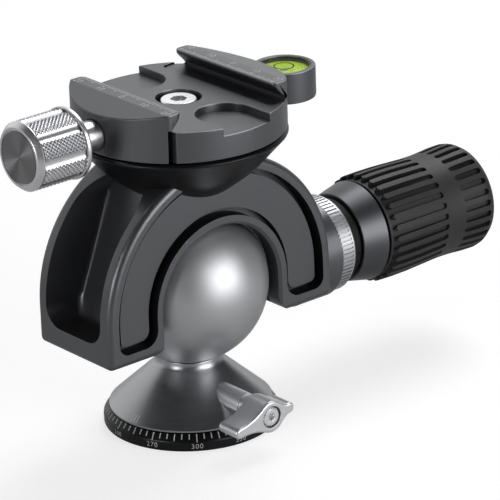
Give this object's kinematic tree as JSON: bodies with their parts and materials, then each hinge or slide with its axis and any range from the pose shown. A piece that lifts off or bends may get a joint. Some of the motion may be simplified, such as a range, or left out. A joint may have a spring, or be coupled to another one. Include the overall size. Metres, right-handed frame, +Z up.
{
  "type": "tripod ball head",
  "caption": "Tripod head with a C-shaped saddle that tilts over a fixed ball, locked by a turning side grip, with a round dovetail clamp, bubble level and panning foot.",
  "frame": {"origin": "mouth of the tripod thread, in the middle of the foot's underside", "axes": "+Z up through the ball and the clamp's deck, +X along the side grip, -X towards the clamp's knob, -Y towards the pan lock lever; the clamp's jaws run along Y"},
  "size_m": [0.1617, 0.0658, 0.1035],
  "materials": {
    "black_anodised": "matt black anodised",
    "grey_anodised": "dark grey sandblasted and anodised",
    "satin_aluminium": "satin turned",
    "bright_aluminium": "bright turned and knurled",
    "steel": "bright stainless steel",
    "zinc_steel": "plain steel",
    "brass": "turned",
    "grip_rubber": "matt black",
    "pad_rubber": "matt black",
    "slide_plastic": "off-white acetal",
    "case_plastic": "black",
    "level_liquid": "yellow-green liquid",
    "bubble_air": "clear",
    "lens_clear": "clear"
  },
  "bodies": {
    "foot": {"degree_ring": "black_anodised", "base_pad": "pad_rubber", "foot_plate": "black_anodised", "thread_insert": "steel", "pan_shaft": "zinc_steel", "pan_washer": "slide_plastic", "pan_nut": "zinc_steel"},
    "cone": {"cone_housing": "satin_aluminium", "lever_boss": "bright_aluminium", "ball_stud": "zinc_steel"},
    "shoe": {"brake_shoe": "brass"},
    "lever": {"pan_lever": "bright_aluminium", "lever_screw": "steel", "lever_stud": "zinc_steel"},
    "ball": {"ball": "satin_aluminium"},
    "seats": {"front_liner": "slide_plastic", "rear_liner": "slide_plastic"},
    "saddle": {"saddle_frame": "grey_anodised", "seat_retainer": "black_anodised", "retainer_screws": "steel", "key_pin": "steel", "friction_springs": "zinc_steel", "grip_sleeve": "black_anodised", "sleeve_screws": "steel", "neck_platform": "black_anodised", "anti_turn_pins": "steel", "mount_screw": "steel", "clamp_body": "grey_anodised", "level_case": "case_plastic", "level_fluid": "level_liquid", "level_bubble": "bubble_air", "level_lens": "lens_clear", "jaw_springs": "steel"},
    "cup": {"pressure_pad": "slide_plastic", "pusher": "zinc_steel"},
    "ring": {"tension_ring": "bright_aluminium"},
    "grip": {"spindle": "zinc_steel", "thrust_washer": "slide_plastic", "grip_collar": "satin_aluminium", "grip_core": "black_anodised", "rubber_grip": "grip_rubber", "end_cap": "black_anodised", "end_screw": "steel"},
    "jaw": {"moving_jaw": "grey_anodised", "guide_pins": "steel"},
    "knob": {"clamp_knob": "bright_aluminium", "knob_cap": "bright_aluminium", "knob_neck": "bright_aluminium", "clamp_screw": "steel", "thrust_ring": "steel"}
  },
  "joints": [
    {"name": "pan_turn", "type": "hinge", "parent": "foot", "child": "cone", "pos_m": [0, 0, 0.0101], "axis": [0, 0, 1], "continuous": true},
    {"name": "lever_turn", "type": "hinge", "parent": "cone", "child": "lever", "pos_m": [0.0003, -0.0315, 0.0112], "axis": [0, 1, 0], "range_deg": [-30, 45]},
    {"name": "brake_slide", "type": "slide", "parent": "cone", "child": "shoe", "axis": [0, 1, 0], "range_m": [-0.00008, 0.00011]},
    {"name": "ball_turn", "type": "hinge", "parent": "cone", "child": "ball", "pos_m": [0, 0, 0.042], "axis": [0, 0, 1], "continuous": true},
    {"name": "saddle_tilt", "type": "hinge", "parent": "ball", "child": "seats", "pos_m": [0, 0, 0.042], "axis": [1, 0, 0], "range_deg": [-85, 85]},
    {"name": "saddle_lean", "type": "hinge", "parent": "seats", "child": "saddle", "pos_m": [0, 0, 0.042], "axis": [0, 1, 0], "range_deg": [-35, 28]},
    {"name": "ring_turn", "type": "hinge", "parent": "saddle", "child": "ring", "pos_m": [0.0491, 0, 0.0394], "axis": [1, 0, 0], "range_deg": [0, 300]},
    {"name": "grip_turn", "type": "hinge", "parent": "saddle", "child": "grip", "pos_m": [0.085, 0, 0.0394], "axis": [1, 0, 0], "range_deg": [0, 118]},
    {"name": "cup_slide", "type": "slide", "parent": "saddle", "child": "cup", "axis": [-1, 0, 0], "range_m": [0, 0.0005]},
    {"name": "knob_turn", "type": "hinge", "parent": "jaw", "child": "knob", "pos_m": [-0.0465, 0, 0.0933], "axis": [-1, 0, 0], "range_deg": [-434, 1082]},
    {"name": "jaw_slide", "type": "slide", "parent": "saddle", "child": "jaw", "axis": [-1, 0, 0], "range_m": [-0.0012, 0.003], "deforming": ["jaw_springs"]}
  ],
  "couplings": [
    {"joint": "brake_slide", "follows": "lever_turn", "m_per_rad": 0.00012732},
    {"joint": "cup_slide", "follows": "grip_turn", "m_per_rad": 0.00023873},
    {"joint": "knob_turn", "follows": "jaw_slide", "rad_per_m": 6283.2}
  ]
}
